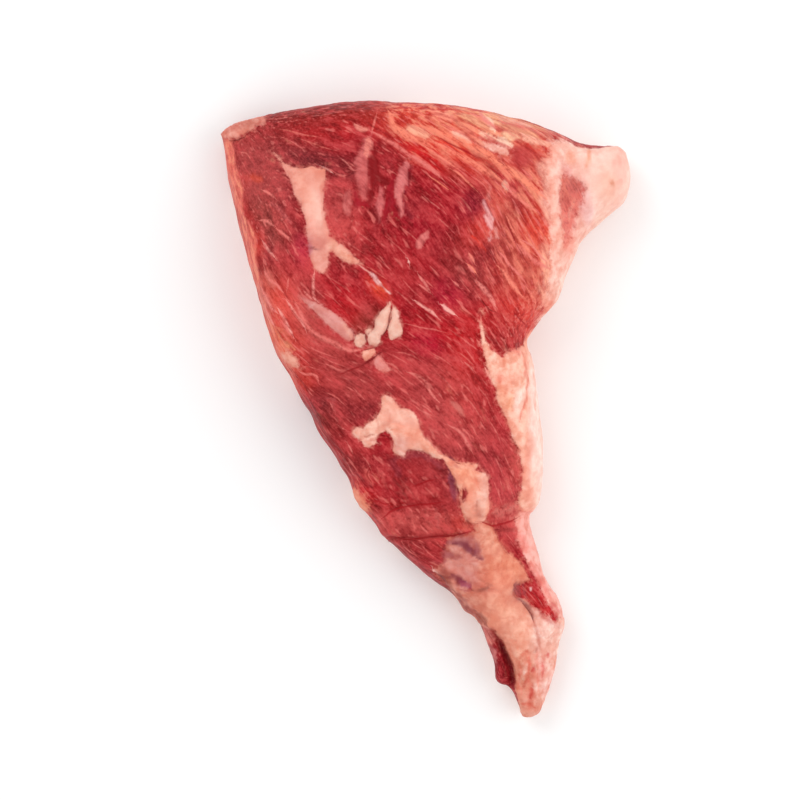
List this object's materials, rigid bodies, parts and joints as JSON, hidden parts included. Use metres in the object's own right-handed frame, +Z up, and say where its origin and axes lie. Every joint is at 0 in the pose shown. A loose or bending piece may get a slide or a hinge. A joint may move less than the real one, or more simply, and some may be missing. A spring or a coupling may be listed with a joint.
{
  "type": "tri-tip steak",
  "caption": "Raw whole beef tri-tip cut, a triangular slab that thins to a fatty tail, lying flat with its lean face up.",
  "frame": {"origin": "on the table, under the middle of the steak's box", "axes": "+Z up through the lean face, +Y from the thin tail end to the broad end, +X to the fat side"},
  "size_m": [0.1844, 0.2772, 0.0499],
  "materials": {
    "raw_beef": "moist raw flesh, deep red with pale pink fat, softly glossy"
  },
  "bodies": {
    "root": {"tri_tip_steak": "raw_beef"}
  },
  "joints": []
}
